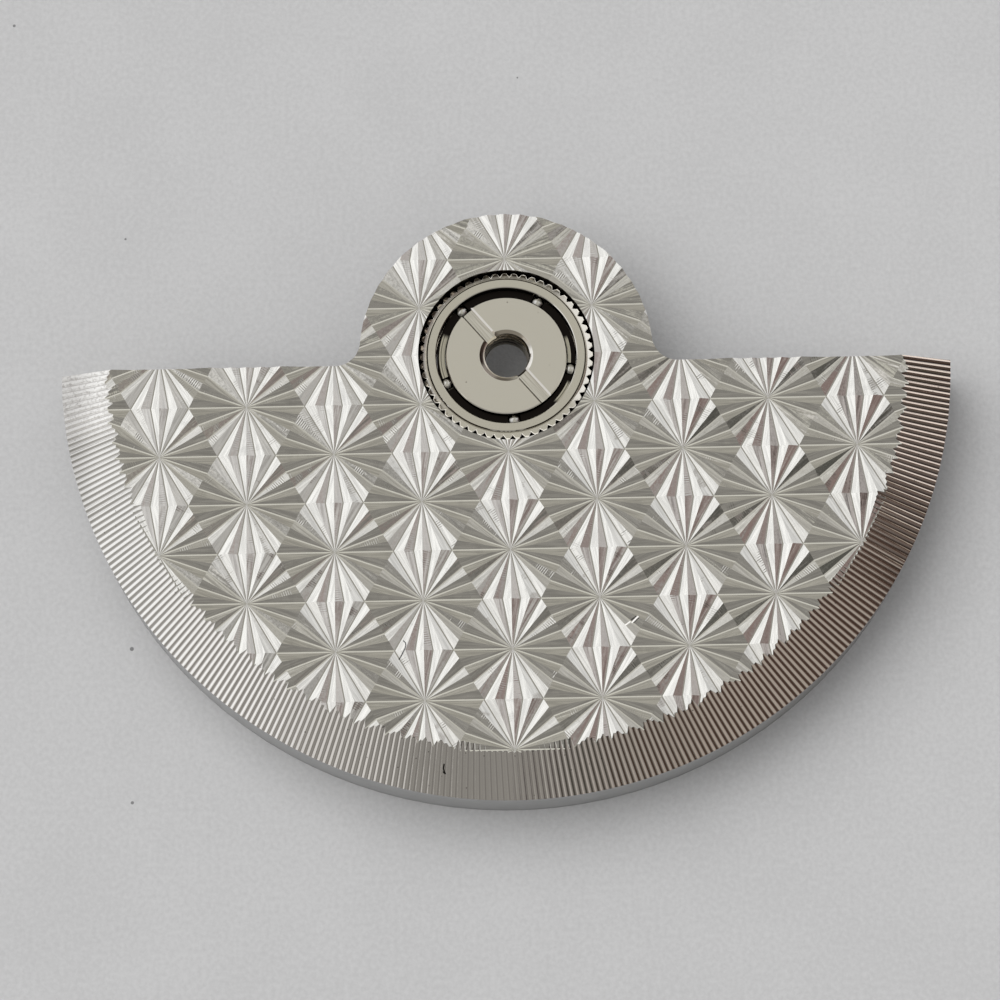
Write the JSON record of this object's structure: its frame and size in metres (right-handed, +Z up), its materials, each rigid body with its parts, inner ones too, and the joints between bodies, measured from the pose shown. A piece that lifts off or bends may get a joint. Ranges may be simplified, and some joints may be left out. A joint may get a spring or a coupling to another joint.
{
  "type": "automatic watch rotor",
  "caption": "Half-disc oscillating weight with a sunburst-engraved face and a fluted conical rim, on a small ball bearing with a knurled ring and a slotted threaded hub.",
  "frame": {"origin": "on the bearing's axis, at the lower end of the hub, where it seats on the movement", "axes": "+Z up through the engraved face, X along the weight's straight edge, the weight lies towards -Y"},
  "size_m": [0.0248, 0.0165, 0.0025],
  "materials": {
    "weight": "nickel-plated, cut by a tool into bright flat facets",
    "bearing_ring": "fine polished",
    "bearing_hub": "fine polished",
    "cage": "dull, oiled",
    "balls": "mirror polished"
  },
  "bodies": {
    "hub": {"bearing_core": "bearing_hub", "bearing_cone": "bearing_hub"},
    "rotor": {"oscillating_weight": "weight", "bearing_outer_ring": "bearing_ring"},
    "cage": {"ball_cage": "cage"},
    "ball_1": {"ball_1": "balls"},
    "ball_2": {"ball_2": "balls"},
    "ball_3": {"ball_3": "balls"},
    "ball_4": {"ball_4": "balls"},
    "ball_5": {"ball_5": "balls"}
  },
  "joints": [
    {"name": "rotor_spin", "type": "hinge", "parent": "hub", "child": "rotor", "pos_m": [0, 0, 0.00057], "axis": [0, 0, 1], "continuous": true},
    {"name": "cage_orbit", "type": "hinge", "parent": "hub", "child": "cage", "pos_m": [0, 0, 0.00057], "axis": [0, 0, 1], "continuous": true},
    {"name": "ball_1_roll", "type": "hinge", "parent": "cage", "child": "ball_1", "pos_m": [0.00019, -0.00181, 0.00057], "axis": [0, 0, 1], "continuous": true},
    {"name": "ball_2_roll", "type": "hinge", "parent": "cage", "child": "ball_2", "pos_m": [0.00178, -0.00038, 0.00057], "axis": [0, 0, 1], "continuous": true},
    {"name": "ball_3_roll", "type": "hinge", "parent": "cage", "child": "ball_3", "pos_m": [0.00091, 0.00158, 0.00057], "axis": [0, 0, 1], "continuous": true},
    {"name": "ball_4_roll", "type": "hinge", "parent": "cage", "child": "ball_4", "pos_m": [-0.00122, 0.00135, 0.00057], "axis": [0, 0, 1], "continuous": true},
    {"name": "ball_5_roll", "type": "hinge", "parent": "cage", "child": "ball_5", "pos_m": [-0.00166, -0.00074, 0.00057], "axis": [0, 0, 1], "continuous": true}
  ],
  "couplings": [
    {"joint": "cage_orbit", "follows": "rotor_spin", "ratio": 0.55948},
    {"joint": "ball_1_roll", "follows": "rotor_spin", "ratio": 4.1436},
    {"joint": "ball_2_roll", "follows": "rotor_spin", "ratio": 4.1436},
    {"joint": "ball_3_roll", "follows": "rotor_spin", "ratio": 4.1436},
    {"joint": "ball_4_roll", "follows": "rotor_spin", "ratio": 4.1436},
    {"joint": "ball_5_roll", "follows": "rotor_spin", "ratio": 4.1436}
  ]
}
